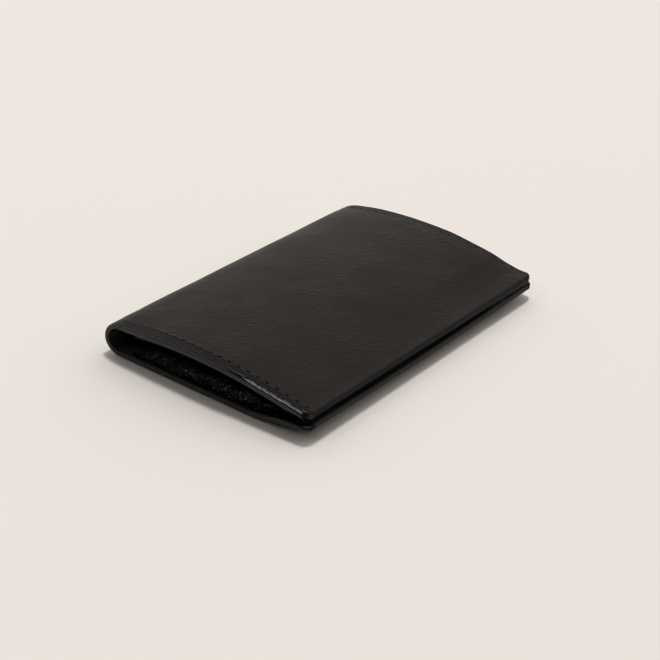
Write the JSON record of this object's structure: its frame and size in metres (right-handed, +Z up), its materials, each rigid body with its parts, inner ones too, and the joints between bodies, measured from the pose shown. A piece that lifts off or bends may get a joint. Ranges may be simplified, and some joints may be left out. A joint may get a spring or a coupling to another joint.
{
  "type": "card holder",
  "caption": "Bifold business-card case: two leather covers round a soft spine, with a flat flap pocket and a gusseted main pocket that opens towards the spine.",
  "frame": {"origin": "bottom centre of the closed case's box, on the surface it lies on", "axes": "+X from the spine to the free edges, +Y along the spine, +Z up through the thickness"},
  "size_m": [0.0755, 0.105, 0.0127],
  "materials": {
    "leather": "satin, fine pebbled grain",
    "lining": "matt, smooth",
    "gusset": "glossy, crinkled",
    "thread": "matt twisted thread"
  },
  "bodies": {
    "back": {"back_cover": "leather", "back_lining": "lining", "back_thread_left": "thread", "back_thread_right": "thread", "gusset_left": "gusset", "gusset_right": "gusset"},
    "spine_lower": {"spine_leather_lower": "leather", "spine_lining_lower": "lining"},
    "spine_upper": {"spine_leather_upper": "leather", "spine_lining_upper": "lining"},
    "front": {"front_cover": "leather", "front_lining": "lining", "front_flap_pocket": "leather", "front_thread_left": "thread", "front_thread_right": "thread"},
    "pocket": {"pocket_front_wall": "leather", "pocket_lining": "lining", "pocket_thread_left": "thread", "pocket_thread_right": "thread"}
  },
  "joints": [
    {"name": "spine_fold_1", "type": "hinge", "parent": "back", "child": "spine_lower", "pos_m": [-0.03498, 0, 0.00078], "axis": [0, -1, 0], "range_deg": [0, 57]},
    {"name": "spine_fold_2", "type": "hinge", "parent": "spine_lower", "child": "spine_upper", "pos_m": [-0.03755, 0, 0.0047], "axis": [0, -1, 0], "range_deg": [0, 57]},
    {"name": "spine_fold_3", "type": "hinge", "parent": "spine_upper", "child": "front", "pos_m": [-0.03512, 0, 0.00889], "axis": [0, -1, 0], "range_deg": [0, 57]},
    {"name": "pocket_fold", "type": "hinge", "parent": "back", "child": "pocket", "pos_m": [0.0356, 0, 0.0044], "axis": [0, 1, 0], "range_deg": [-3, 0], "deforming": ["gusset_left", "gusset_right"]}
  ],
  "couplings": [
    {"joint": "spine_fold_2", "follows": "spine_fold_1", "ratio": 1},
    {"joint": "spine_fold_3", "follows": "spine_fold_1", "ratio": 1}
  ]
}
